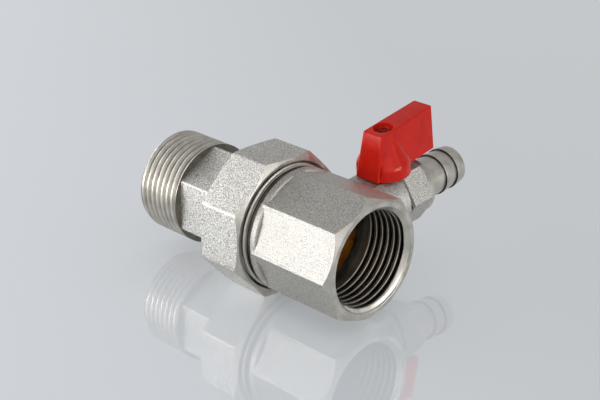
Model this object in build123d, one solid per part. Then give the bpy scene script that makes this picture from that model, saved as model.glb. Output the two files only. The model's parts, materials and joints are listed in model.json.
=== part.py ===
"""Union coupling with a drain ball valve, in millimetres.

X leaves the female mouth, Y leaves the drain and Z goes up the drain's stem.
Places along X are counted from the flat face of the mouth.
The exported origin is where the mouth's thread starts, so the solids are moved there at the end.
"""
import math
import os

from build123d import *

# Clearances
RUN_GAP = 0.05
FACE_GAP = 0.05
SEAL_GAP = 0.03
THREAD_GAP = 0.3
EXTRA = 1.0

# Body, from the mouth towards the union
MOUTH_THREAD_R = 15.15
MOUTH_EDGE_R = 16.62
MOUTH_CHAMFER = 1.5
MOUTH_DEPTH = 19.0
THROAT_R = 13.0
BODY_SIDES = 8
BODY_INRADIUS = 18.55
BODY_FACE_R = 18.1
BODY_FLAT_LENGTH = 29.4
BODY_EDGE_ROUND = 0.4
COLLAR_R = 19.7
COLLAR_WIDTH = 2.6
COLLAR_ROUND = 0.8
COLLAR_BEVEL = 0.4
GROOVE_R = 18.5
GROOVE_WIDTH = 1.5
UNION_R = 20.0
UNION_LENGTH = 8.5
UNION_CHAMFER = 0.7

# Union nut
NUT_SIDES = 8
NUT_INRADIUS = 22.04
NUT_FACE_R = 21.6
NUT_FACE_SLOPE = 0.6
NUT_SETBACK = 1.0
NUT_TURN = 17.2
NUT_EDGE_ROUND = 1.5
NUT_BACK_ROUND = 0.8
NUT_BACK_EASE = 0.25
NUT_LIP = 4.5
NUT_HOLE_R = 17.0
NUT_MOUTH_CHAMFER = 0.5

# Gasket and tail
GASKET_THICK = 2.0
GASKET_OUT_R = 18.8
GASKET_IN_R = 14.4
FLANGE_THICK = 2.38
FLANGE_R = 19.4
NECK_R = 16.4
NECK_LENGTH = 7.6
HEX_SIDES = 6
HEX_INRADIUS = 14.2
HEX_TURN = 24.7
HEX_LENGTH = 14.9
HEX_EDGE_ROUND = 0.8
TAIL_THREAD_R = 16.62
TAIL_THREAD_LENGTH = 18.3
TAIL_THREAD_PITCH = 2.309
TAIL_THREAD_DEPTH = 1.479
TAIL_THREAD_FLANK = 27.5
TAIL_THREAD_TURNS = 7
TAIL_CHAMFER = 1.3
TAIL_BORE_R = 12.4
TAIL_SEAT_R = 9.0
TAIL_LIP = 4.5

# Pusher, poppet and spring
PUSHER_RIM_R = 14.0
PUSHER_RIM_WIDTH = 2.6
PUSHER_RIM_WALL = 2.2
PUSHER_HUB_R = 3.6
PUSHER_HUB_LENGTH = 5.5
PUSHER_PIN_R = 2.4
SPOKES = 3
SPOKE_WIDTH = 2.4
LIFT = 5.4
POPPET_NOSE_R = 6.4
POPPET_DISC_R = 10.9
POPPET_DISC_THICK = 1.8
POPPET_SEAL_THICK = 1.5
POPPET_SEAL_R = 10.6
POPPET_STEM_R = 2.5
POPPET_OVERHANG = 4.8
SPRING_R = 6.5
SPRING_WIRE_R = 0.6
SPRING_WIRE_SIDES = 6
SPRING_TURNS = 4.5
RETAINER_DEPTH = 13.2
RETAINER_THICK = 2.2
RETAINER_RIM_WALL = 2.0
RETAINER_HUB_R = 4.2
SNAP_THICK = 1.1
SNAP_DEPTH = 0.8
SNAP_WALL = 1.3
SNAP_ARC = 345.0

# Drain branch
DRAIN_X = -23.41
STEM_Y = 31.5
BOSS_R = 11.0
BOSS_PAST_STEM = 0.9
BOSS_BEVEL = 0.5
STEP_R = 8.5
STEP_WIDTH = 0.6
DRAIN_HEX_SIDES = 6
DRAIN_HEX_INRADIUS = 9.27
DRAIN_HEX_FACE_R = 9.7
DRAIN_REACH = 12.1
DRAIN_PORT_R = 4.2
CAVITY_R = 7.5
BALL_R = 6.5
BALL_PORT_R = 4.0
SEAT_REACH = 7.1
SEAT_INNER_REACH = 4.3
SEAT_PORT_R = 4.2

# Stem and its neck
NECK_OUT_R = 4.4
NECK_RISE = 5.33
STEM_R = 2.75
STEM_FLANGE_R = 3.6
STEM_FLANGE_RISE = 0.4
STEM_FLANGE_THICK = 0.9
WASHER_THICK = 0.5
STEM_FLATS = 4.0
STEM_FLATS_LENGTH = 5.4
TANG_WIDTH = 2.0
TANG_LENGTH = 6.0
TANG_DEPTH = 1.8
SEAL_GROOVE_R = 1.95
SEAL_GROOVE_WIDTH = 1.2
SEAL_SIDES = 6
SEAL_LOW_DROP = 4.4
SEAL_HIGH_DROP = 2.0

# Lever, along Y from the stem and up from its foot
LEVER_FOOT_RISE = 0.93
LEVER_PAD_GAP = 0.4
LEVER_NEAR_LOW = 8.2
LEVER_NEAR_HIGH = 5.0
LEVER_FAR_LOW = 20.5
LEVER_FAR_HIGH = 19.4
LEVER_FAR_FOOT_RISE = 1.9
LEVER_NEAR_HEIGHT = 14.3
LEVER_FAR_HEIGHT = 16.8
LEVER_NEAR_HALF_LOW = 4.67
LEVER_NEAR_HALF_HIGH = 4.05
LEVER_FAR_HALF_LOW = 3.85
LEVER_FAR_HALF_HIGH = 3.65
LEVER_ROUND = 0.8
LEVER_TOP_ROUND = 0.5
LEVER_UPRIGHT = 0.8
HUB_LOW_R = 8.6
HUB_FOOT_HEIGHT = 3.7
HUB_HIGH_R = 3.7
HUB_HEIGHT = 11.8
HUB_ROUND = 4.0
LEVER_CAVITY_R = 4.8
LEVER_WEB_GAP = 0.6
STOP_R = 5.6
STOP_DROP = 2.2
STOP_ANGLE = 60.0
STOP_FACING = 225.0
STOP_PLAY = 1.0
LEVER_SWING = 90.0
WEDGE_STEPS = 4
SCREW_WELL_R = 3.2
SCREW_STAND = 0.4
SCREW_HEAD_R = 2.8
SCREW_HEAD_THICK = 2.2
SCREW_R = 1.5
SCREW_LENGTH = 6.2
SCREW_SLOT_WIDTH = 0.9
SCREW_SLOT_LENGTH = 4.5
SCREW_SLOT_DEPTH = 1.2

# Hose tail, along Y from the end of the branch
SPIGOT_R = 7.2
SPOUT_BORE_R = 4.5
SPOUT_FLANGE_R = 9.3
SPOUT_FLANGE_WIDTH = 2.35
SPOUT_FLANGE_CHAMFER = 0.35
SPOUT_CREST_R = 7.0
SPOUT_TIP_R = 6.5
SPOUT_LAND = 1.0
SPOUT_TOOTH_2 = 11.3
SPOUT_TOOTH_3 = 17.0
SPOUT_LENGTH = 21.3
SPOUT_SEAL_R = 0.4

# Places along the run
collar_end = -BODY_FLAT_LENGTH - COLLAR_WIDTH
groove_end = collar_end - GROOVE_WIDTH
union_end = groove_end - UNION_LENGTH
nut_start = groove_end - NUT_SETBACK
flange_face = union_end - GASKET_THICK
flange_back = flange_face - FLANGE_THICK
nut_shoulder = flange_back - FACE_GAP
nut_end = nut_shoulder - NUT_LIP
hex_start = flange_back - NECK_LENGTH
hex_end = hex_start - HEX_LENGTH
tail_end = hex_end - TAIL_THREAD_LENGTH
seat_face = flange_face - TAIL_LIP
poppet_nose = seat_face - LIFT
disc_front = poppet_nose - POPPET_SEAL_THICK
disc_back = disc_front - POPPET_DISC_THICK
retainer_start = tail_end + RETAINER_DEPTH
retainer_end = retainer_start - RETAINER_THICK
snap_start = retainer_end - FACE_GAP

# Places along the drain
boss_end = STEM_Y + BOSS_PAST_STEM
drain_end = STEM_Y + DRAIN_REACH
cavity_start = STEM_Y - SEAT_REACH
spigot_end = STEM_Y + SEAT_REACH

# Heights
stem_flange_bottom = BALL_R + STEM_FLANGE_RISE
stem_flange_top = stem_flange_bottom + STEM_FLANGE_THICK
tang_bottom = BALL_R - TANG_DEPTH
neck_top = DRAIN_HEX_INRADIUS + NECK_RISE
lever_foot = DRAIN_HEX_INRADIUS + LEVER_FOOT_RISE
lever_web = neck_top + LEVER_WEB_GAP
stem_top = lever_web + STEM_FLATS_LENGTH
screw_seat = stem_top + SCREW_STAND
screw_end = screw_seat - SCREW_LENGTH
stop_top = neck_top - STOP_DROP


def turned(points):
    """Solid of revolution about X from pairs of position and radius."""
    return revolve(make_face(Polyline(*points, close=True)), Axis.X)


def tube(start, end, outer, inner):
    """Plain ring about X."""
    return turned([(start, inner), (end, inner), (end, outer), (start, outer)])


def rod(start, end, radius):
    """Plain cylinder about X."""
    return turned([(start, 0), (end, 0), (end, radius), (start, radius)])


def seal_ring(position, inner, section):
    """Ring seal about X, its section a regular polygon."""
    centre = inner + section
    points = []
    for number in range(SEAL_SIDES):
        angle = 2 * math.pi * (number + 0.5) / SEAL_SIDES
        points.append((position + section * math.cos(angle), centre + section * math.sin(angle)))
    return turned(points)


def prism(start, end, inradius, sides, turn):
    """Regular prism along X."""
    outline = RegularPolygon(inradius, sides, major_radius=False, rotation=turn)
    return Pos(start, 0, 0) * extrude(Plane.YZ * outline, end - start)


def corner_radius(inradius, sides):
    """Distance of a regular polygon's corners from its centre."""
    return inradius / math.cos(math.pi / sides)


def on_drain(shape):
    """Puts a shape made along X onto the drain axis."""
    return Pos(DRAIN_X, 0, 0) * Rot(0, 0, 90) * shape


def on_stem(shape):
    """Puts a shape made along X onto the stem axis."""
    return Pos(DRAIN_X, STEM_Y, 0) * Rot(0, -90, 0) * shape


def rounded_along_x(solid, radius):
    """Rounds the long edges of a prism along X."""
    return fillet(solid.edges().filter_by(Axis.X), radius)


def wedge(facing, opening, height):
    """Sector about the stem, from Z zero up."""
    far = 3 * STOP_R
    points = [(0, 0)]
    for number in range(WEDGE_STEPS + 1):
        angle = math.radians(facing - opening / 2 + opening * number / WEDGE_STEPS)
        points.append((far * math.cos(angle), far * math.sin(angle)))
    return Pos(DRAIN_X, STEM_Y, 0) * extrude(make_face(Polyline(*points, close=True)), height)


def spider(start, end, outer, wall, hub):
    """Ring about X with spokes to a hub."""
    reach = outer - wall / 2
    arm = Pos((start + end) / 2, reach / 2, 0) * Box(abs(end - start), reach, SPOKE_WIDTH)
    made = tube(start, end, outer, outer - wall) + rod(start, end, hub)
    for number in range(SPOKES):
        made += Rot(360 * number / SPOKES, 0, 0) * arm
    return made


def make_body_outside():
    """Octagon, collar, groove and union end of the body."""
    wide = corner_radius(BODY_INRADIUS, BODY_SIDES) + EXTRA
    face_cone = turned([
        (collar_end, 0),
        (collar_end, wide),
        (BODY_FACE_R - wide, wide),
        (0, BODY_FACE_R),
        (0, 0),
    ])
    octagon = prism(-BODY_FLAT_LENGTH - COLLAR_WIDTH / 2, 0, BODY_INRADIUS, BODY_SIDES, 0)
    octagon = rounded_along_x(octagon, BODY_EDGE_ROUND) & face_cone
    collar = turned([
        (collar_end, 0),
        (collar_end, COLLAR_R - COLLAR_BEVEL),
        (collar_end + COLLAR_BEVEL, COLLAR_R),
        (-BODY_FLAT_LENGTH, COLLAR_R),
        (-BODY_FLAT_LENGTH, 0),
    ])
    collar = fillet(collar.edges().filter_by(GeomType.CIRCLE).sort_by(Axis.X)[-1], COLLAR_ROUND)
    union = turned([
        (union_end, 0),
        (union_end, UNION_R - UNION_CHAMFER),
        (union_end + UNION_CHAMFER, UNION_R),
        (groove_end - UNION_CHAMFER, UNION_R),
        (groove_end, UNION_R - UNION_CHAMFER),
        (groove_end, GROOVE_R),
        (collar_end + EXTRA, GROOVE_R),
        (collar_end + EXTRA, 0),
    ])
    return octagon + collar + union


def make_branch():
    """Boss, step and hexagon of the drain, flattened under the lever, with the stem's neck and stop."""
    boss = turned([
        (0, 0),
        (0, BOSS_R),
        (boss_end - BOSS_BEVEL, BOSS_R),
        (boss_end, BOSS_R - BOSS_BEVEL),
        (boss_end, 0),
    ])
    wide = corner_radius(DRAIN_HEX_INRADIUS, DRAIN_HEX_SIDES) + EXTRA
    hex_cone = turned([
        (boss_end, 0),
        (boss_end, wide),
        (drain_end - wide + DRAIN_HEX_FACE_R, wide),
        (drain_end, DRAIN_HEX_FACE_R),
        (drain_end, 0),
    ])
    hexagon = prism(boss_end + STEP_WIDTH, drain_end, DRAIN_HEX_INRADIUS, DRAIN_HEX_SIDES, 0) & hex_cone
    step = rod(boss_end - EXTRA, boss_end + STEP_WIDTH + EXTRA, STEP_R)
    pad = lever_foot - LEVER_PAD_GAP
    pad_cut = Pos(DRAIN_X, BODY_INRADIUS + boss_end / 2, pad + BOSS_R / 2) * Box(3 * BOSS_R, boss_end, BOSS_R)
    neck = on_stem(rod(0, neck_top, NECK_OUT_R))
    stop = on_stem(rod(0, stop_top, STOP_R)) & wedge(STOP_FACING, STOP_ANGLE, stop_top)
    return on_drain(boss + step + hexagon) - pad_cut + neck + stop


def make_valve_body():
    """Body forging with its bores."""
    mouth = turned([
        (EXTRA, 0),
        (EXTRA, MOUTH_EDGE_R),
        (0, MOUTH_EDGE_R),
        (-MOUTH_CHAMFER, MOUTH_THREAD_R),
        (-MOUTH_DEPTH, MOUTH_THREAD_R),
        (-MOUTH_DEPTH, 0),
    ])
    throat = rod(union_end - EXTRA, -MOUTH_DEPTH + EXTRA, THROAT_R)
    pusher_pocket = rod(union_end - EXTRA, union_end + PUSHER_RIM_WIDTH, PUSHER_RIM_R)
    seal_depth = 2 * SPOUT_SEAL_R + SEAL_GAP
    seal_pocket_r = SPIGOT_R + 2 * SPOUT_SEAL_R + 3 * SEAL_GAP
    cavity = on_drain(turned([
        (0, 0),
        (0, DRAIN_PORT_R),
        (cavity_start, DRAIN_PORT_R),
        (cavity_start, CAVITY_R),
        (drain_end - seal_depth, CAVITY_R),
        (drain_end - seal_depth, seal_pocket_r),
        (drain_end + EXTRA, seal_pocket_r),
        (drain_end + EXTRA, 0),
    ]))
    stem_bore = rod(0, neck_top + EXTRA, STEM_R + RUN_GAP)
    flange_room = rod(0, stem_flange_top + WASHER_THICK + 2 * SEAL_GAP, STEM_FLANGE_R + THREAD_GAP)
    outside = make_body_outside() + make_branch()
    return outside - mouth - throat - pusher_pocket - cavity - on_stem(stem_bore + flange_room)


def make_union_nut():
    """Octagonal nut with a chamfered front, a rounded forged back and a lip that holds the tail's flange."""
    corner = corner_radius(NUT_INRADIUS, NUT_SIDES)
    wide = corner + EXTRA
    envelope = turned([
        (nut_end, 0),
        (nut_end, NUT_INRADIUS - NUT_BACK_ROUND),
        (nut_end + NUT_BACK_EASE, NUT_INRADIUS - NUT_BACK_EASE),
        (nut_end + NUT_BACK_ROUND, corner - NUT_BACK_EASE),
        (nut_end + 2 * NUT_BACK_ROUND, wide),
        (nut_start - (wide - NUT_FACE_R) * NUT_FACE_SLOPE, wide),
        (nut_start, NUT_FACE_R),
        (nut_start, 0),
    ])
    blank = prism(nut_end, nut_start, NUT_INRADIUS, NUT_SIDES, NUT_TURN)
    bore = UNION_R + THREAD_GAP
    hollow = turned([
        (nut_end - EXTRA, 0),
        (nut_end - EXTRA, NUT_HOLE_R),
        (nut_shoulder, NUT_HOLE_R),
        (nut_shoulder, bore),
        (nut_start - NUT_MOUTH_CHAMFER, bore),
        (nut_start, bore + NUT_MOUTH_CHAMFER),
        (nut_start + EXTRA, bore + NUT_MOUTH_CHAMFER),
        (nut_start + EXTRA, 0),
    ])
    return (rounded_along_x(blank, NUT_EDGE_ROUND) & envelope) - hollow


def thread_points(start):
    """Outline of the tail's thread as rings of its pitch and depth, from a first crest."""
    root = TAIL_THREAD_R - TAIL_THREAD_DEPTH
    flank = TAIL_THREAD_DEPTH * math.tan(math.radians(TAIL_THREAD_FLANK))
    land = TAIL_THREAD_PITCH / 2 - flank
    points = []
    for number in range(TAIL_THREAD_TURNS):
        crest = start + number * TAIL_THREAD_PITCH
        points.append((crest, TAIL_THREAD_R))
        points.append((crest + land, TAIL_THREAD_R))
        points.append((crest + land + flank, root))
        points.append((crest + 2 * land + flank, root))
    points.append((start + TAIL_THREAD_TURNS * TAIL_THREAD_PITCH, TAIL_THREAD_R))
    return points


def make_tail_nipple():
    """Tail with flange, neck, hexagon and threaded end, bored for the poppet."""
    hexagon = rounded_along_x(prism(hex_end, hex_start, HEX_INRADIUS, HEX_SIDES, HEX_TURN), HEX_EDGE_ROUND)
    outside = turned([
        (tail_end, 0),
        (tail_end, TAIL_THREAD_R - TAIL_CHAMFER),
        *thread_points(tail_end + TAIL_CHAMFER),
        (hex_end, TAIL_THREAD_R),
        (hex_end, HEX_INRADIUS - EXTRA),
        (hex_start - EXTRA, HEX_INRADIUS - EXTRA),
        (hex_start, NECK_R),
        (flange_back, NECK_R),
        (flange_back, FLANGE_R),
        (flange_face, FLANGE_R),
        (flange_face, 0),
    ])
    snap_groove_start = snap_start + FACE_GAP
    snap_groove_end = snap_start - SNAP_THICK - FACE_GAP
    hollow = turned([
        (tail_end - EXTRA, 0),
        (tail_end - EXTRA, TAIL_BORE_R),
        (snap_groove_end, TAIL_BORE_R),
        (snap_groove_end, TAIL_BORE_R + SNAP_DEPTH),
        (snap_groove_start, TAIL_BORE_R + SNAP_DEPTH),
        (snap_groove_start, TAIL_BORE_R),
        (seat_face, TAIL_BORE_R),
        (seat_face, TAIL_SEAT_R),
        (flange_face + EXTRA, TAIL_SEAT_R),
        (flange_face + EXTRA, 0),
    ])
    return outside + hexagon - hollow


def make_pusher_spider():
    """Cross in the union end whose pin holds the poppet off its seat."""
    start = union_end + FACE_GAP
    end = union_end + PUSHER_RIM_WIDTH - FACE_GAP
    cross = spider(start, end, PUSHER_RIM_R - RUN_GAP, PUSHER_RIM_WALL, PUSHER_HUB_R)
    hub = rod(start, union_end + PUSHER_HUB_LENGTH, PUSHER_HUB_R)
    pin = rod(poppet_nose + FACE_GAP, end, PUSHER_PIN_R)
    return cross + hub + pin


def make_poppet():
    """Poppet with its nose, disc and stem."""
    return turned([
        (retainer_end - POPPET_OVERHANG, 0),
        (retainer_end - POPPET_OVERHANG, POPPET_STEM_R),
        (disc_back, POPPET_STEM_R),
        (disc_back, POPPET_DISC_R),
        (disc_front, POPPET_DISC_R),
        (disc_front, POPPET_NOSE_R),
        (poppet_nose, POPPET_NOSE_R),
        (poppet_nose, 0),
    ])


def make_poppet_spring():
    """Coil spring between the retainer and the poppet's disc."""
    back = retainer_start + SPRING_WIRE_R + FACE_GAP
    length = disc_back - SPRING_WIRE_R - FACE_GAP - back
    path = Helix(length / SPRING_TURNS, length, SPRING_R)
    section = Plane(path @ 0, z_dir=path % 0) * RegularPolygon(SPRING_WIRE_R, SPRING_WIRE_SIDES)
    return Pos(back, 0, 0) * Rot(0, 90, 0) * sweep(section, path=path)


def make_retainer_ring():
    """Open snap ring in the tail's groove."""
    outline = Polyline(
        (snap_start - SNAP_THICK, TAIL_BORE_R - SNAP_WALL),
        (snap_start, TAIL_BORE_R - SNAP_WALL),
        (snap_start, TAIL_BORE_R + SNAP_DEPTH - RUN_GAP),
        (snap_start - SNAP_THICK, TAIL_BORE_R + SNAP_DEPTH - RUN_GAP),
        close=True,
    )
    return revolve(make_face(outline), Axis.X, SNAP_ARC)


def make_spring_retainer():
    """Spider that guides the poppet's stem and carries the spring."""
    cross = spider(retainer_end, retainer_start, TAIL_BORE_R - RUN_GAP, RETAINER_RIM_WALL, RETAINER_HUB_R)
    return cross - rod(retainer_end - EXTRA, retainer_start + EXTRA, POPPET_STEM_R + RUN_GAP)


def make_drain_ball():
    """Ball with its port and the slot for the stem's tang."""
    ball = Sphere(BALL_R) - rod(-SEAT_REACH, SEAT_REACH, BALL_PORT_R)
    slot_floor = tang_bottom - SEAL_GAP
    slot = Pos(0, 0, slot_floor + BALL_R / 2) * Box(3 * BALL_R, TANG_WIDTH + 2 * RUN_GAP, BALL_R)
    return on_drain(Pos(STEM_Y, 0, 0) * (ball - slot))


def make_ball_seat():
    """Seat ring on the outlet side of the ball's centre, its inner face following the ball."""
    reach = BALL_R + SEAL_GAP
    port_reach = math.sqrt(reach ** 2 - SEAT_PORT_R ** 2)
    lip_r = math.sqrt(reach ** 2 - SEAT_INNER_REACH ** 2)
    middle = math.atan2(SEAT_PORT_R + lip_r, port_reach + SEAT_INNER_REACH)
    outline = Polyline(
        (SEAT_INNER_REACH, lip_r),
        (SEAT_INNER_REACH, CAVITY_R - RUN_GAP),
        (SEAT_REACH, CAVITY_R - RUN_GAP),
        (SEAT_REACH, SEAT_PORT_R),
        (port_reach, SEAT_PORT_R),
    )
    curve = ThreePointArc(
        (port_reach, SEAT_PORT_R),
        (reach * math.cos(middle), reach * math.sin(middle)),
        (SEAT_INNER_REACH, lip_r),
    )
    return revolve(make_face([outline, curve]), Axis.X)


def make_drain_stem():
    """Stem with its flange, seal grooves, flats for the lever, screw hole and tang."""
    half_groove = SEAL_GROOVE_WIDTH / 2
    low = neck_top - SEAL_LOW_DROP
    high = neck_top - SEAL_HIGH_DROP
    stem = turned([
        (stem_flange_bottom, 0),
        (stem_flange_bottom, STEM_FLANGE_R),
        (stem_flange_top, STEM_FLANGE_R),
        (stem_flange_top, STEM_R),
        (low - half_groove, STEM_R),
        (low - half_groove, SEAL_GROOVE_R),
        (low + half_groove, SEAL_GROOVE_R),
        (low + half_groove, STEM_R),
        (high - half_groove, STEM_R),
        (high - half_groove, SEAL_GROOVE_R),
        (high + half_groove, SEAL_GROOVE_R),
        (high + half_groove, STEM_R),
        (stem_top, STEM_R),
        (stem_top, 0),
    ])
    flat_length = STEM_FLATS_LENGTH + EXTRA
    flat = Pos(lever_web + flat_length / 2, (STEM_FLATS + STEM_R) / 2, 0)
    flat *= Box(flat_length, STEM_R, 3 * STEM_R)
    hole = rod(screw_end - EXTRA / 2, stem_top + EXTRA, SCREW_R + RUN_GAP)
    tang_height = stem_flange_bottom + STEM_FLANGE_THICK / 2 - tang_bottom
    tang = Pos(DRAIN_X, STEM_Y, tang_bottom + tang_height / 2) * Box(TANG_WIDTH, TANG_LENGTH, tang_height)
    return on_stem(stem - flat - Rot(180, 0, 0) * flat - hole) + tang


def make_stem_seal(height):
    """Ring seal in a groove of the stem."""
    section = (STEM_R + RUN_GAP - SEAL_GROOVE_R) / 2 - SEAL_GAP
    return on_stem(seal_ring(height, SEAL_GROOVE_R + SEAL_GAP, section))


def lever_outline(near, far, near_half, far_half, near_z, far_z):
    """Four-sided outline of the lever's plate, between its near and far ends."""
    return make_face(Polyline(
        (DRAIN_X - near_half, STEM_Y - near, near_z),
        (DRAIN_X + near_half, STEM_Y - near, near_z),
        (DRAIN_X + far_half, STEM_Y + far, far_z),
        (DRAIN_X - far_half, STEM_Y + far, far_z),
        close=True,
    ))


def make_drain_lever():
    """Tapered plate with a conical hub trimmed at its near end, hollow over the neck, with a screw well."""
    low = lever_outline(
        LEVER_NEAR_LOW, LEVER_FAR_LOW, LEVER_NEAR_HALF_LOW, LEVER_FAR_HALF_LOW,
        lever_foot, lever_foot + LEVER_FAR_FOOT_RISE,
    )
    high = lever_outline(
        LEVER_NEAR_HIGH, LEVER_FAR_HIGH, LEVER_NEAR_HALF_HIGH, LEVER_FAR_HALF_HIGH,
        lever_foot + LEVER_NEAR_HEIGHT, lever_foot + LEVER_FAR_HEIGHT,
    )
    plate = loft([low, high], ruled=True)
    upright = plate.edges().filter_by(lambda edge: abs(edge.tangent_at(0.5).Z) > LEVER_UPRIGHT)
    plate = fillet(upright, LEVER_ROUND)
    plate = fillet(plate.faces().sort_by(Axis.Z)[-1].edges(), LEVER_TOP_ROUND)
    hub = turned([
        (lever_foot, 0),
        (lever_foot, HUB_LOW_R),
        (lever_foot + HUB_FOOT_HEIGHT, HUB_LOW_R),
        (lever_foot + HUB_HEIGHT, HUB_HIGH_R),
        (lever_foot + HUB_HEIGHT, 0),
    ])
    hub = on_stem(fillet(hub.edges().filter_by(GeomType.CIRCLE).sort_by(Axis.X)[1], HUB_ROUND))
    half = HUB_LOW_R + EXTRA
    top = lever_foot + LEVER_NEAR_HEIGHT
    trim_low = lever_outline(LEVER_NEAR_LOW - LEVER_ROUND, LEVER_FAR_LOW, half, half, lever_foot, lever_foot)
    trim_high = lever_outline(LEVER_NEAR_HIGH - LEVER_ROUND, LEVER_FAR_HIGH, half, half, top, top)
    hub &= loft([trim_low, trim_high], ruled=True)
    neck_room = on_stem(rod(0, lever_web, LEVER_CAVITY_R))
    stop_room = on_stem(rod(0, stop_top + THREAD_GAP, STOP_R + THREAD_GAP))
    room_angle = STOP_ANGLE + LEVER_SWING + 2 * STOP_PLAY
    stop_room &= wedge(STOP_FACING + LEVER_SWING / 2, room_angle, stop_top + EXTRA)
    key = on_stem(rod(0, screw_seat + EXTRA, STEM_R + RUN_GAP))
    key &= Pos(DRAIN_X, STEM_Y, screw_seat) * Box(4 * STEM_R, STEM_FLATS + 2 * RUN_GAP, 3 * screw_seat)
    well = on_stem(rod(screw_seat, lever_foot + LEVER_FAR_HEIGHT + EXTRA, SCREW_WELL_R))
    return plate + hub - neck_room - stop_room - key - well


def make_lever_screw():
    """Cross-slotted screw in the lever's well."""
    top = screw_seat + SCREW_HEAD_THICK
    screw = rod(screw_seat, top, SCREW_HEAD_R) + rod(screw_end, top, SCREW_R)
    slot = Pos(top, 0, 0) * Box(2 * SCREW_SLOT_DEPTH, SCREW_SLOT_WIDTH, SCREW_SLOT_LENGTH)
    return on_stem(screw - slot - Rot(90, 0, 0) * slot)


def make_hose_tail():
    """Screwed-in spout with a flange and three hose teeth that fall away to the outlet."""
    start = spigot_end + FACE_GAP
    shoulder = drain_end + FACE_GAP
    front = shoulder + SPOUT_FLANGE_WIDTH
    second = drain_end + SPOUT_TOOTH_2
    third = drain_end + SPOUT_TOOTH_3
    end = drain_end + SPOUT_LENGTH
    return on_drain(turned([
        (start, SPOUT_BORE_R),
        (start, SPIGOT_R),
        (shoulder, SPIGOT_R),
        (shoulder, SPOUT_FLANGE_R),
        (front - SPOUT_FLANGE_CHAMFER, SPOUT_FLANGE_R),
        (front, SPOUT_FLANGE_R - SPOUT_FLANGE_CHAMFER),
        (front, SPOUT_CREST_R),
        (front + SPOUT_LAND, SPOUT_CREST_R),
        (second, SPOUT_TIP_R),
        (second, SPOUT_CREST_R),
        (second + SPOUT_LAND, SPOUT_CREST_R),
        (third, SPOUT_TIP_R),
        (third, SPOUT_CREST_R),
        (third + SPOUT_LAND, SPOUT_CREST_R),
        (end, SPOUT_TIP_R),
        (end, SPOUT_BORE_R),
    ]))


seat = make_ball_seat()
washer_bottom = stem_flange_top + SEAL_GAP
washer_top = washer_bottom + WASHER_THICK
NODES = {
    "valve_body": make_valve_body(),
    "union_nut": make_union_nut(),
    "tail_nipple": make_tail_nipple(),
    "union_gasket": tube(flange_face, union_end, GASKET_OUT_R, GASKET_IN_R),
    "pusher_spider": make_pusher_spider(),
    "poppet": make_poppet(),
    "poppet_seal": tube(disc_front, poppet_nose - FACE_GAP, POPPET_SEAL_R, POPPET_NOSE_R + RUN_GAP),
    "poppet_spring": make_poppet_spring(),
    "spring_retainer": make_spring_retainer(),
    "retainer_ring": make_retainer_ring(),
    "drain_ball": make_drain_ball(),
    "ball_seat_inner": on_drain(Pos(STEM_Y, 0, 0) * Rot(0, 0, 180) * seat),
    "ball_seat_outer": on_drain(Pos(STEM_Y, 0, 0) * seat),
    "drain_stem": make_drain_stem(),
    "stem_washer": on_stem(tube(washer_bottom, washer_top, STEM_FLANGE_R, STEM_R + RUN_GAP)),
    "stem_seal_lower": make_stem_seal(neck_top - SEAL_LOW_DROP),
    "stem_seal_upper": make_stem_seal(neck_top - SEAL_HIGH_DROP),
    "drain_lever": make_drain_lever(),
    "lever_screw": make_lever_screw(),
    "hose_tail": make_hose_tail(),
    "hose_tail_seal": on_drain(seal_ring(drain_end - SPOUT_SEAL_R, SPIGOT_R + SEAL_GAP, SPOUT_SEAL_R)),
}

os.makedirs("parts", exist_ok=True)
for name, shape in NODES.items():
    export_step(Pos(MOUTH_CHAMFER, 0, 0) * shape, f"parts/{name}.step")
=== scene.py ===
"""Union coupling with a drain ball valve, dressed and lit like its photograph."""
import json
import math

import bmesh
import bpy
from mathutils import Matrix, Vector


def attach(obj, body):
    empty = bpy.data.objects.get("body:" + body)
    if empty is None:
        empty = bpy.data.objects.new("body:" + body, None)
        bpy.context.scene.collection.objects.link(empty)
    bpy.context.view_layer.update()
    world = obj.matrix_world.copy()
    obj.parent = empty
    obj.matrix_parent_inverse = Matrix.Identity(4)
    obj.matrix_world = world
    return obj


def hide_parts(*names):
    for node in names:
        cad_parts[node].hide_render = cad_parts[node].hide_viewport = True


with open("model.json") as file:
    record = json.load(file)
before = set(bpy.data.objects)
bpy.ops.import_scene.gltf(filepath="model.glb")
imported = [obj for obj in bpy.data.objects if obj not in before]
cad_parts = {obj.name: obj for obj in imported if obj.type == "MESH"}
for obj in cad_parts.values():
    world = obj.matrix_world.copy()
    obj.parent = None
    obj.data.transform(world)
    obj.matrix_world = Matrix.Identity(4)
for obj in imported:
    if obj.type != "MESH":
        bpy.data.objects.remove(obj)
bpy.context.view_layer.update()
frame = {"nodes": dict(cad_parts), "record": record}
MM = 0.001

# Camera, in the frame of the table: the body lies turned about its run by LEAN
LEAN = math.radians(5.29)
AZIMUTH = math.radians(43.52)
ELEVATION = math.radians(23.255)
ROLL = math.radians(1.434)
DISTANCE = 400.29 * MM
TARGET = Vector((-35.349, 6.809, 5.754)) * MM
LENS = 77.37
SENSOR = 36.0
CLIP_START = 10.0 * MM

# Floor: bright up to one place along a line across it, darker with painted shade from another place on
FLOOR_Z = -22.06 * MM
FLOOR_HALF = 3000.0 * MM
FLOOR_IOR = 2.4
FLOOR_ROUGHNESS = 0.035
FLOOR_GLOW = 0.27
FLOOR_TURN = AZIMUTH + math.radians(12)
FLOOR_BRIGHT_AT = -120.0 * MM
FLOOR_PAINTED_SHADE_AT = 80.0 * MM
FLOOR_BRIGHT = (0.84, 0.87, 0.915)
FLOOR_PAINTED_SHADE = (0.69, 0.725, 0.755)

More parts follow.
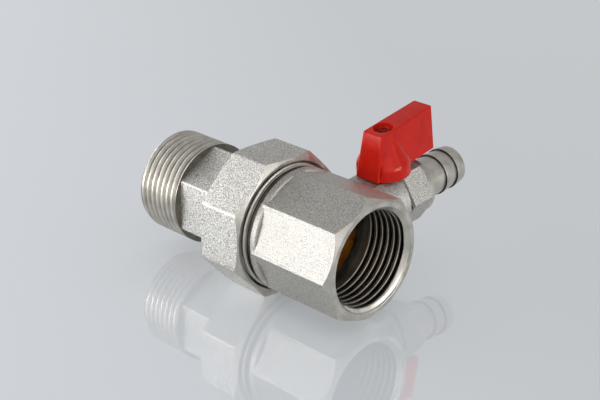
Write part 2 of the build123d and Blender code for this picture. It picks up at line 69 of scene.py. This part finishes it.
# Lamps, in the frame of the table: name, place in metres, size in metres and power in watts
LIGHT_TARGET = Vector((-0.035, 0.005, 0.0))
LIGHT_COLOR = (0.985, 0.99, 1.0)
WORLD_STRENGTH = 0.47
LIGHTS = [
    ("low left", (-0.45, -0.50, 0.005), (0.45, 0.05), 1.2),
    ("front", (-0.10, -0.60, 0.15), (0.60, 0.35), 1.75),
    ("front right", (0.50, -0.20, 0.20), (0.40, 0.40), 0.5),
    ("left", (-0.75, -0.05, 0.15), (0.40, 0.30), 2.3),
    ("right", (0.70, 0.30, 0.35), (0.40, 0.40), 0.3),
    ("right low", (0.55, 0.15, 0.08), (0.30, 0.20), 1.2),
]

# Threads
PIPE_PITCH = 2.309 * MM
PIPE_DEPTH = 1.479 * MM
UNION_PITCH = 1.5 * MM
UNION_DEPTH = 0.85 * MM
MALE_R = 16.62 * MM
FEMALE_R = 15.15 * MM
UNION_R = 20.0 * MM
SKIN = 0.15 * MM
AROUND = 120
STEPS_PER_TURN = 14
FLANK_SHARE = 0.72
# Parts of the thread depth that set where painted shade in the roots begins
MALE_ROOT = 0.3
FEMALE_CREST = 0.22

# Places along the run, from the flat face of the mouth
MOUTH_FACE = 1.5 * MM
FRONT_DEPTH = 2.0 * MM
FEMALE_THREAD_END = MOUTH_FACE - 16.2 * MM
MOUTH_DEPTH = MOUTH_FACE - 19.0 * MM
DRAIN_X = MOUTH_FACE - 23.41 * MM
COLLAR_END = MOUTH_FACE - 32.0 * MM
UNION_THREAD_END = MOUTH_FACE - 33.5 * MM
UNION_END = MOUTH_FACE - 42.0 * MM
UNION_CHAMFER = 0.7 * MM
HEX_START = MOUTH_FACE - 53.9 * MM
HEX_END = MOUTH_FACE - 68.8 * MM
TAIL_THREAD_END = MOUTH_FACE - 68.88 * MM
TAIL_END = MOUTH_FACE - 87.18 * MM
TAIL_CHAMFER = 1.3 * MM

# Distances from the run that part one finish from another, or a finish from painted shade
THROAT_R = 13.0 * MM
HEX_INSIDE_R = 13.5 * MM
GROOVE_MID_R = 19.0 * MM
NUT_INSIDE_R = 21.0 * MM

# Step between the boss and the hexagon of the drain, and the band of painted shade behind it, along the
# drain and out from its axis
STEP_START = 32.4 * MM
STEP_END = 33.0 * MM
STEP_R = 8.6 * MM
HEX_ROOT_END = 34.4 * MM
DRAIN_HEX_LOW_R = 9.2 * MM
DRAIN_HEX_HIGH_R = 10.8 * MM

# Tests on faces: how near counts as at a place, and the part of a normal that counts as facing or along
FACE_TOLERANCE = 0.05 * MM
FACING = 0.6
ALONG = 0.1

# Shading
SMOOTH_ANGLE = math.radians(28)
THREAD_SMOOTH_ANGLE = math.radians(75)
WELD = 0.002 * MM

# Sizes of texture, in cycles per metre
COARSE_GRAIN = 2700.0
FINE_GRAIN = 2900.0
MOULDED_GRAIN = 1350.0
FORGED_GRAIN = 300.0
LATHE_GRAIN = 2400.0

# Blasted metal
GRAIN_DETAIL = 4.0
GRAIN_SPAN = (0.4, 0.58)
GRAIN_SHINE = (-0.1, 0.12)
GRAIN_HEIGHT = 0.25 * MM
FORGED_DETAIL = 2.0
FORGED_RELIEF = 0.25
FORGED_HEIGHT = 0.15 * MM

# Turned metal
RING_DISTORTION = 1.5
RING_DETAIL = 1.0
RING_RELIEF = 0.12
RING_HEIGHT = 0.03 * MM
STAIN_DETAIL = 5.0
STAIN_SHINE = (-0.05, 0.08)

# Moulded and plain materials
PLASTIC_SPECULAR = 0.24
CLOUD_DETAIL = 3.0
PEEL_DETAIL = 2.0
PEEL_RELIEF = 0.08
MOTTLE_DETAIL = 3.0
MOTTLE_RELIEF = 0.1
MOULDED_HEIGHT = 0.05 * MM

# Stretches of a noise over which colour and shine change
SOFT_SPAN = (0.35, 0.65)
WIDE_SPAN = (0.3, 0.7)


def table_to_body():
    """Turn from the frame of the table to that of the body."""
    return Matrix.Rotation(-LEAN, 4, "X")


def new_material(name, color, metallic, roughness):
    """Material with its node tree and shader."""
    material = bpy.data.materials.new(name)
    material.use_nodes = True
    tree = material.node_tree
    shader = tree.nodes["Principled BSDF"]
    shader.inputs["Base Color"].default_value = (*color, 1)
    shader.inputs["Metallic"].default_value = metallic
    shader.inputs["Roughness"].default_value = roughness
    return material, tree, shader


def noise(tree, scale, detail, coordinates):
    """Noise in the object's own metres."""
    node = tree.nodes.new("ShaderNodeTexNoise")
    node.inputs["Scale"].default_value = scale
    node.inputs["Detail"].default_value = detail
    tree.links.new(coordinates.outputs["Object"], node.inputs["Vector"])
    return node


def ramp(tree, source, low, high, span):
    """Blend of two colours over a stretch of a value."""
    node = tree.nodes.new("ShaderNodeValToRGB")
    for element, position, color in zip(node.color_ramp.elements, span, (low, high)):
        element.position = position
        element.color = (*color, 1)
    tree.links.new(source, node.inputs["Fac"])
    return node


def color_by(tree, shader, source, dark, light, span):
    """Base colour that follows a value."""
    colours = ramp(tree, source, dark, light, span)
    tree.links.new(colours.outputs["Color"], shader.inputs["Base Color"])


def shine_by(tree, shader, source, roughness, change):
    """Roughness that follows a value, from below its mean to above it."""
    shine = ramp(tree, source, (roughness + change[0],) * 3, (roughness + change[1],) * 3, WIDE_SPAN)
    tree.links.new(shine.outputs["Color"], shader.inputs["Roughness"])


def bump(tree, shader, height, strength, distance, below=None):
    """Small relief on a shader, over another one if given."""
    node = tree.nodes.new("ShaderNodeBump")
    node.inputs["Strength"].default_value = strength
    node.inputs["Distance"].default_value = distance
    tree.links.new(height, node.inputs["Height"])
    if below is not None:
        tree.links.new(below.outputs["Normal"], node.inputs["Normal"])
    tree.links.new(node.outputs["Normal"], shader.inputs["Normal"])
    return node


def blasted_metal(name, dark, light, roughness, scale, relief):
    """Nickel plate over a blasted forging: speckle, small pits and a soft unevenness."""
    material, tree, shader = new_material(name, light, 1.0, roughness)
    coordinates = tree.nodes.new("ShaderNodeTexCoord")
    grain = noise(tree, scale, GRAIN_DETAIL, coordinates).outputs["Fac"]
    forged = noise(tree, FORGED_GRAIN, FORGED_DETAIL, coordinates).outputs["Fac"]
    color_by(tree, shader, grain, dark, light, GRAIN_SPAN)
    shine_by(tree, shader, grain, roughness, GRAIN_SHINE)
    soft = bump(tree, shader, forged, FORGED_RELIEF, FORGED_HEIGHT)
    bump(tree, shader, grain, relief, GRAIN_HEIGHT, soft)
    return material


def turned_metal(name, dark, light, roughness, along):
    """Turned metal: rings of the tool along one axis and a slight change of shine."""
    material, tree, shader = new_material(name, light, 1.0, roughness)
    coordinates = tree.nodes.new("ShaderNodeTexCoord")
    rings = tree.nodes.new("ShaderNodeTexWave")
    rings.bands_direction = along
    rings.inputs["Scale"].default_value = LATHE_GRAIN
    rings.inputs["Distortion"].default_value = RING_DISTORTION
    rings.inputs["Detail"].default_value = RING_DETAIL
    tree.links.new(coordinates.outputs["Object"], rings.inputs["Vector"])
    stain = noise(tree, FORGED_GRAIN, STAIN_DETAIL, coordinates).outputs["Fac"]
    color_by(tree, shader, stain, dark, light, SOFT_SPAN)
    shine_by(tree, shader, stain, roughness, STAIN_SHINE)
    bump(tree, shader, rings.outputs["Fac"], RING_RELIEF, RING_HEIGHT)
    return material


def moulded_plastic(name, dark, light, roughness):
    """Glossy moulded plastic with a faint orange peel."""
    material, tree, shader = new_material(name, light, 0.0, roughness)
    shader.inputs["Specular IOR Level"].default_value = PLASTIC_SPECULAR
    coordinates = tree.nodes.new("ShaderNodeTexCoord")
    cloud = noise(tree, FORGED_GRAIN, CLOUD_DETAIL, coordinates).outputs["Fac"]
    peel = noise(tree, MOULDED_GRAIN, PEEL_DETAIL, coordinates).outputs["Fac"]
    color_by(tree, shader, cloud, dark, light, WIDE_SPAN)
    bump(tree, shader, peel, PEEL_RELIEF, MOULDED_HEIGHT)
    return material


def plain_material(name, dark, light, metallic, roughness):
    """Rubber, seat plastic, chrome or steel with a slight mottle."""
    material, tree, shader = new_material(name, light, metallic, roughness)
    coordinates = tree.nodes.new("ShaderNodeTexCoord")
    mottle = noise(tree, MOULDED_GRAIN, MOTTLE_DETAIL, coordinates).outputs["Fac"]
    color_by(tree, shader, mottle, dark, light, SOFT_SPAN)
    bump(tree, shader, mottle, MOTTLE_RELIEF, MOULDED_HEIGHT)
    return material


# Materials of the pieces
BLASTED = blasted_metal(
    "blasted nickel", dark=(0.36, 0.347, 0.32), light=(0.62, 0.6, 0.555),
    roughness=0.44, scale=FINE_GRAIN, relief=0.6)
PEBBLED = blasted_metal(
    "pebbled nickel", dark=(0.37, 0.358, 0.333), light=(0.84, 0.82, 0.77),
    roughness=0.4, scale=COARSE_GRAIN, relief=0.7)
TURNED = turned_metal(
    "turned nickel", dark=(0.5, 0.475, 0.425), light=(0.64, 0.61, 0.55), roughness=0.37, along="X")
SPOUT_TURNED = turned_metal(
    "turned nickel spout", dark=(0.5, 0.475, 0.425), light=(0.64, 0.61, 0.55), roughness=0.34, along="Y")
# Lighter painted shade: the groove before the collar, a band on the drain's hexagon behind its boss, the
# tail thread's end face and the roots of the tail and union threads
SOFT_PAINTED_SHADE = turned_metal(
    "nickel with soft painted shade", dark=(0.16, 0.15, 0.13), light=(0.26, 0.245, 0.215), roughness=0.35, along="X")
# Near-black painted shade: the step at the drain, the bore past the thread, the mouth's thread roots and
# the spout's steps
DARK_PAINTED_SHADE = turned_metal(
    "nickel with dark painted shade", dark=(0.045, 0.04, 0.034), light=(0.1, 0.09, 0.075), roughness=0.4, along="X")
BRASS = turned_metal(
    "bare brass", dark=(0.6, 0.38, 0.12), light=(0.78, 0.54, 0.2), roughness=0.3, along="X")
RED = moulded_plastic(
    "red plastic", dark=(0.5, 0.008, 0.002), light=(0.6, 0.012, 0.003), roughness=0.2)
CHROME = plain_material(
    "chrome", dark=(0.75, 0.75, 0.76), light=(0.82, 0.82, 0.82), metallic=1.0, roughness=0.08)
WHITE = plain_material(
    "white seat", dark=(0.75, 0.75, 0.72), light=(0.85, 0.85, 0.83), metallic=0.0, roughness=0.45)
RUBBER = plain_material(
    "black rubber", dark=(0.015, 0.015, 0.015), light=(0.03, 0.03, 0.03), metallic=0.0, roughness=0.55)
STEEL = plain_material(
    "drawn steel", dark=(0.42, 0.42, 0.43), light=(0.56, 0.56, 0.56), metallic=1.0, roughness=0.28)

# Finishes of the pieces that have more than one, and the painted shade some of them carry
BODY_FINISHES_AND_SHADE = [BLASTED, TURNED, BRASS, DARK_PAINTED_SHADE, SOFT_PAINTED_SHADE]
NUT_FINISHES = [PEBBLED, TURNED]
TAIL_FINISHES_AND_SHADE = [PEBBLED, TURNED, SOFT_PAINTED_SHADE]
SPOUT_FINISH_AND_SHADE = [SPOUT_TURNED, DARK_PAINTED_SHADE]


def body_name(node):
    """Body of the record that a node belongs to."""
    for name, nodes in frame["record"]["behaviour"]["bodies"].items():
        if node in nodes:
            return name
    raise ValueError(node)


def shade(mesh, sharp_angle):
    """Smooth shading with sharp edges where faces meet at more than an angle."""
    work = bmesh.new()
    work.from_mesh(mesh)
    bmesh.ops.remove_doubles(work, verts=work.verts, dist=WELD)
    bmesh.ops.dissolve_degenerate(work, edges=work.edges, dist=WELD)
    bmesh.ops.recalc_face_normals(work, faces=work.faces)
    for face in work.faces:
        face.smooth = True
    for edge in work.edges:
        edge.smooth = len(edge.link_faces) == 2 and edge.calc_face_angle(0) < sharp_angle
    work.to_mesh(mesh)
    work.free()


def settle(piece, node, materials, choose):
    """Puts a piece in the place of its node's body and gives each face its material."""
    piece.data.materials.clear()
    for material in materials:
        piece.data.materials.append(material)
    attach(piece, body_name(node))
    for polygon in piece.data.polygons:
        polygon.material_index = materials.index(choose(polygon))


def dressed_copy(node, materials, choose=None, reshape=None, cut_y=None):
    """Smooth-shaded copy of a node in its place, its faces parted at a place along the drain if given."""
    source = frame["nodes"][node]
    mesh = bpy.data.meshes.new(node + "_skin")
    work = bmesh.new()
    work.from_mesh(source.data)
    work.transform(source.matrix_world)
    if reshape is not None:
        for vertex in work.verts:
            vertex.co = reshape(vertex.co)
    if cut_y is not None:
        parts = [*work.verts, *work.edges, *work.faces]
        bmesh.ops.bisect_plane(work, geom=parts, plane_co=(0, cut_y, 0), plane_no=(0, 1, 0))
    work.to_mesh(mesh)
    work.free()
    if "custom_normal" in mesh.attributes:
        mesh.attributes.remove(mesh.attributes["custom_normal"])
    shade(mesh, SMOOTH_ANGLE)
    piece = bpy.data.objects.new(node + "_skin", mesh)
    bpy.context.collection.objects.link(piece)
    settle(piece, node, materials, choose or (lambda polygon: materials[0]))
    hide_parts(node)


def radius_of(point):
    """Distance from the run."""
    return math.hypot(point.y, point.z)


def with_radius(point, radius):
    """Same place with another distance from the run."""
    scale = radius / radius_of(point)
    return Vector((point.x, point.y * scale, point.z * scale))


def crest(turns):
    """Rounded thread form: 0 at the root, 1 at the crest."""
    part = turns % 1.0
    climb = min((1.0 - abs(2.0 * part - 1.0)) / FLANK_SHARE, 1.0)
    return climb * climb * (3.0 - 2.0 * climb)


def around_run(x, radius, turn):
    """Place at a distance from the run, some part of a turn about it."""
    angle = 2.0 * math.pi * turn
    return x, radius * math.cos(angle), radius * math.sin(angle)


def thread_sleeve(name, node, ends, pitch, surface, back, in_root, root_painted_shade):
    """Closed sleeve about the run whose face is a right-hand thread, its rows following the helix, with
    painted shade in its roots.
    """
    start, end = ends
    rows = math.ceil(((end - start) / pitch + 1.0) * STEPS_PER_TURN)
    turns = [column / AROUND for column in range(AROUND)]
    vertices = []
    for row in range(rows + 1):
        for turn in turns:
            x = min(max(start + (row / STEPS_PER_TURN + turn - 1.0) * pitch, start), end)
            radius = surface(x, crest((x - start) / pitch - turn))
            vertices.append(around_run(x, radius, turn))
    vertices += [around_run(end, back, turn) for turn in turns]
    vertices += [around_run(start, back, turn) for turn in turns]
    last_ring = rows + 2
    faces = []
    for ring in range(last_ring + 1):
        other = (ring + 1) % (last_ring + 1)
        for column in range(AROUND):
            beside = (column + 1) % AROUND
            closes_turn = beside == 0 and ring < rows
            low = min(ring + STEPS_PER_TURN, rows) if closes_turn else ring
            high = min(other + STEPS_PER_TURN, rows) if closes_turn else other
            corners = (
                ring * AROUND + column,
                low * AROUND + beside,
                high * AROUND + beside,
                other * AROUND + column,
            )
            faces.append(tuple(dict.fromkeys(corners)))
    mesh = bpy.data.meshes.new(name)
    mesh.from_pydata(vertices, [], faces)
    shade(mesh, THREAD_SMOOTH_ANGLE)
    piece = bpy.data.objects.new(name, mesh)
    bpy.context.collection.objects.link(piece)
    settle(piece, node, [TURNED, root_painted_shade],
           lambda polygon: root_painted_shade if in_root(polygon.center) else TURNED)


def male_surface(x, height):
    """Radius of the tail's thread, chamfered at its end."""
    thread = MALE_R - PIPE_DEPTH * (1.0 - height)
    return min(thread, MALE_R - TAIL_CHAMFER + (x - TAIL_END))


def female_surface(x, height):
    """Radius of the mouth's thread, opened by the chamfer of the mouth."""
    thread = FEMALE_R + PIPE_DEPTH * (1.0 - height)
    return max(thread, FEMALE_R + x)


def union_surface(x, height):
    """Radius of the union thread, chamfered at both ends."""
    thread = UNION_R - UNION_DEPTH * (1.0 - height)
    return min(thread, UNION_R - UNION_CHAMFER + min(x - UNION_END, UNION_THREAD_END - x))


def male_root(point):
    """Whether a place on the tail's thread is low between its crests, where shade is painted."""
    return radius_of(point) < MALE_R - (1.0 - MALE_ROOT) * PIPE_DEPTH and point.x > TAIL_END + TAIL_CHAMFER


def female_root(point):
    """Whether a place on the mouth's thread is low between its crests, where shade is painted."""
    return radius_of(point) > FEMALE_R + FEMALE_CREST * PIPE_DEPTH and point.x < 0


def union_root(point):
    """Whether a place on the union thread is low between its crests, where shade is painted."""
    return radius_of(point) < UNION_R - (1.0 - MALE_ROOT) * UNION_DEPTH


def body_shape(point):
    """Opens the mouth and thins the union end for their thread sleeves."""
    radius = radius_of(point)
    in_mouth = point.x > MOUTH_DEPTH - FACE_TOLERANCE and FEMALE_R - SKIN < radius < MALE_R + SKIN
    if in_mouth and point.y < UNION_R:
        return with_radius(point, MALE_R + SKIN)
    on_union = UNION_R - UNION_CHAMFER - SKIN < radius < UNION_R + SKIN
    if on_union and point.x < UNION_THREAD_END + FACE_TOLERANCE:
        return with_radius(point, UNION_R - UNION_DEPTH - SKIN)
    return point


def tail_shape(point):
    """Thins the tail's end for its thread sleeve, up to the shoulder at the hexagon."""
    outside = radius_of(point) > MALE_R - PIPE_DEPTH - 2 * SKIN
    if outside and point.x < TAIL_THREAD_END - FACE_TOLERANCE:
        return with_radius(point, MALE_R - PIPE_DEPTH - SKIN)
    return point


def body_finish_and_shade(polygon):
    """Blasted outside, turned at the front and union end, bare in the throat, with painted shade in
    grooves, at the drain's step and on the bore past the thread.
    """
    center = polygon.center
    radius = radius_of(center)
    drain_r = math.hypot(center.x - DRAIN_X, center.z)
    # Near-black painted shade in the step between the drain's boss and its hexagon
    across_step = STEP_START - FACE_TOLERANCE < center.y < STEP_END + FACE_TOLERANCE
    if across_step and (drain_r < STEP_R or abs(polygon.normal.y) > FACING):
        return DARK_PAINTED_SHADE
    # Lighter painted shade on a band of the hexagon behind the boss, and in the groove before the collar
    at_root = STEP_END - FACE_TOLERANCE < center.y < HEX_ROOT_END and abs(polygon.normal.y) < ALONG
    on_hex_root = at_root and DRAIN_HEX_LOW_R < drain_r < DRAIN_HEX_HIGH_R
    in_groove = UNION_THREAD_END < center.x < COLLAR_END and MALE_R < radius < GROOVE_MID_R
    if on_hex_root or in_groove:
        return SOFT_PAINTED_SHADE
    inside = radius < MALE_R + 2 * SKIN and abs(center.y) < MALE_R + 2 * SKIN
    if inside and center.x < FEMALE_THREAD_END:
        # Near-black painted shade on the bore wall past the thread; the throat itself is bare brass
        return BRASS if radius < THROAT_R + FACE_TOLERANCE else DARK_PAINTED_SHADE
    on_front = polygon.normal.x > FACING and center.x > MOUTH_FACE - FRONT_DEPTH
    on_union = center.x < COLLAR_END - FACE_TOLERANCE and center.y < UNION_R
    return TURNED if on_front or on_union or inside else BLASTED


def nut_finish(polygon):
    """Pebbled outside, turned on the end face and inside."""
    turned = polygon.normal.x > FACING or radius_of(polygon.center) < NUT_INSIDE_R
    return TURNED if turned else PEBBLED


def tail_finish_and_shade(polygon):
    """Pebbled hexagon, painted shade on the thread's end face, turned elsewhere."""
    if abs(polygon.center.x - TAIL_THREAD_END) < FACE_TOLERANCE:
        return SOFT_PAINTED_SHADE
    on_hex = HEX_END < polygon.center.x < HEX_START and radius_of(polygon.center) > HEX_INSIDE_R
    return PEBBLED if on_hex else TURNED


def spout_finish_and_shade(polygon):
    """Turned, with painted shade on the steps that face the body."""
    return DARK_PAINTED_SHADE if polygon.normal.y < -FACING else SPOUT_TURNED


# The body's faces are parted along the drain where the band of painted shade on its hexagon ends
dressed_copy("valve_body", BODY_FINISHES_AND_SHADE, body_finish_and_shade, body_shape, HEX_ROOT_END)
dressed_copy("union_nut", NUT_FINISHES, nut_finish)
dressed_copy("tail_nipple", TAIL_FINISHES_AND_SHADE, tail_finish_and_shade, tail_shape)
dressed_copy("hose_tail", SPOUT_FINISH_AND_SHADE, spout_finish_and_shade)
dressed_copy("drain_lever", [RED])
for brass_node in ("pusher_spider", "poppet", "spring_retainer", "drain_stem"):
    dressed_copy(brass_node, [BRASS])
for rubber_node in ("union_gasket", "poppet_seal", "stem_seal_lower", "stem_seal_upper", "hose_tail_seal"):
    dressed_copy(rubber_node, [RUBBER])
for seat_node in ("ball_seat_inner", "ball_seat_outer", "stem_washer"):
    dressed_copy(seat_node, [WHITE])
for steel_node in ("poppet_spring", "retainer_ring", "lever_screw"):
    dressed_copy(steel_node, [STEEL])
dressed_copy("drain_ball", [CHROME])

TAIL_ENDS = (TAIL_END, TAIL_THREAD_END - FACE_TOLERANCE)
TAIL_BACK = MALE_R - PIPE_DEPTH - 2 * SKIN
thread_sleeve("tail_thread", "tail_nipple", TAIL_ENDS, PIPE_PITCH, male_surface, TAIL_BACK, male_root, SOFT_PAINTED_SHADE)
MOUTH_ENDS = (FEMALE_THREAD_END, MOUTH_FACE - FACE_TOLERANCE)
MOUTH_BACK = MALE_R + 2 * SKIN
thread_sleeve("mouth_thread", "valve_body", MOUTH_ENDS, PIPE_PITCH, female_surface, MOUTH_BACK,
              female_root, DARK_PAINTED_SHADE)
UNION_ENDS = (UNION_END, UNION_THREAD_END)
UNION_BACK = UNION_R - UNION_DEPTH - 2 * SKIN
thread_sleeve("union_thread", "valve_body", UNION_ENDS, UNION_PITCH, union_surface, UNION_BACK,
              union_root, SOFT_PAINTED_SHADE)


def studio_camera():
    """Camera where the photograph was taken from."""
    back = Vector((
        math.sin(AZIMUTH) * math.cos(ELEVATION),
        -math.cos(AZIMUTH) * math.cos(ELEVATION),
        math.sin(ELEVATION),
    ))
    right = Vector((math.cos(AZIMUTH), math.sin(AZIMUTH), 0))
    up = back.cross(right)
    right_rolled = math.cos(ROLL) * right + math.sin(ROLL) * up
    up_rolled = math.cos(ROLL) * up - math.sin(ROLL) * right
    turn = Matrix((right_rolled, up_rolled, back)).transposed().to_4x4()
    data = bpy.data.cameras.new("camera")
    data.lens = LENS
    data.sensor_width = SENSOR
    data.sensor_fit = "HORIZONTAL"
    data.clip_start = CLIP_START
    camera = bpy.data.objects.new("camera", data)
    bpy.context.collection.objects.link(camera)
    camera.matrix_world = table_to_body() @ Matrix.Translation(TARGET + DISTANCE * back) @ turn
    bpy.context.scene.camera = camera


def area_light(name, place, size, power, receivers):
    """Soft light in the frame of the table, aimed at the part and kept off the floor."""
    data = bpy.data.lights.new(name, "AREA")
    data.shape = "RECTANGLE"
    data.size, data.size_y = size
    data.energy = power
    data.color = LIGHT_COLOR
    lamp = bpy.data.objects.new(name, data)
    bpy.context.collection.objects.link(lamp)
    look = (LIGHT_TARGET - Vector(place)).to_track_quat("-Z", "Y").to_matrix().to_4x4()
    lamp.matrix_world = table_to_body() @ Matrix.Translation(Vector(place)) @ look
    lamp.light_linking.receiver_collection = receivers


def floor_material():
    """Pale glossy floor, a little darker to the right with painted shade, with a glow that lights nothing
    else.
    """
    material, tree, shader = new_material("floor", FLOOR_BRIGHT, 0.0, FLOOR_ROUGHNESS)
    shader.inputs["IOR"].default_value = FLOOR_IOR
    coordinates = tree.nodes.new("ShaderNodeTexCoord")
    across = tree.nodes.new("ShaderNodeVectorMath")
    across.operation = "DOT_PRODUCT"
    across.inputs[1].default_value = (math.cos(FLOOR_TURN), math.sin(FLOOR_TURN), 0)
    tree.links.new(coordinates.outputs["Object"], across.inputs[0])
    share = tree.nodes.new("ShaderNodeMapRange")
    share.inputs["From Min"].default_value = FLOOR_BRIGHT_AT
    share.inputs["From Max"].default_value = FLOOR_PAINTED_SHADE_AT
    tree.links.new(across.outputs["Value"], share.inputs["Value"])
    tint = ramp(tree, share.outputs["Result"], FLOOR_BRIGHT, FLOOR_PAINTED_SHADE, (0, 1))
    tree.links.new(tint.outputs["Color"], shader.inputs["Base Color"])
    tree.links.new(tint.outputs["Color"], shader.inputs["Emission Color"])
    rays = tree.nodes.new("ShaderNodeLightPath")
    seen = tree.nodes.new("ShaderNodeMath")
    seen.operation = "MAXIMUM"
    tree.links.new(rays.outputs["Is Camera Ray"], seen.inputs[0])
    tree.links.new(rays.outputs["Is Glossy Ray"], seen.inputs[1])
    strength = tree.nodes.new("ShaderNodeMath")
    strength.operation = "MULTIPLY"
    strength.inputs[1].default_value = FLOOR_GLOW
    tree.links.new(seen.outputs["Value"], strength.inputs[0])
    tree.links.new(strength.outputs["Value"], shader.inputs["Emission Strength"])
    return material


def studio_floor():
    """Floor under the part, in the frame of the table."""
    mesh = bpy.data.meshes.new("floor")
    corners = [(x * FLOOR_HALF, y * FLOOR_HALF, 0) for x, y in ((-1, -1), (1, -1), (1, 1), (-1, 1))]
    mesh.from_pydata(corners, [], [range(len(corners))])
    floor = bpy.data.objects.new("floor", mesh)
    bpy.context.collection.objects.link(floor)
    floor.matrix_world = table_to_body() @ Matrix.Translation((0, 0, FLOOR_Z))
    floor.data.materials.append(floor_material())
    return floor


def all_but(thing):
    """Collection that tells a lamp to light everything but one thing."""
    receivers = bpy.data.collections.new("lit by lamps")
    receivers.objects.link(thing)
    receivers.collection_objects[0].light_linking.link_state = "EXCLUDE"
    return receivers


def studio_world():
    """Even pale surroundings."""
    world = bpy.data.worlds.new("studio")
    world.use_nodes = True
    background = world.node_tree.nodes["Background"]
    background.inputs["Color"].default_value = (*LIGHT_COLOR, 1)
    background.inputs["Strength"].default_value = WORLD_STRENGTH
    bpy.context.scene.world = world


studio_camera()
lit_by_lamps = all_but(studio_floor())
studio_world()
for light in LIGHTS:
    area_light(*light, lit_by_lamps)

bpy.context.scene.view_settings.view_transform = "Standard"
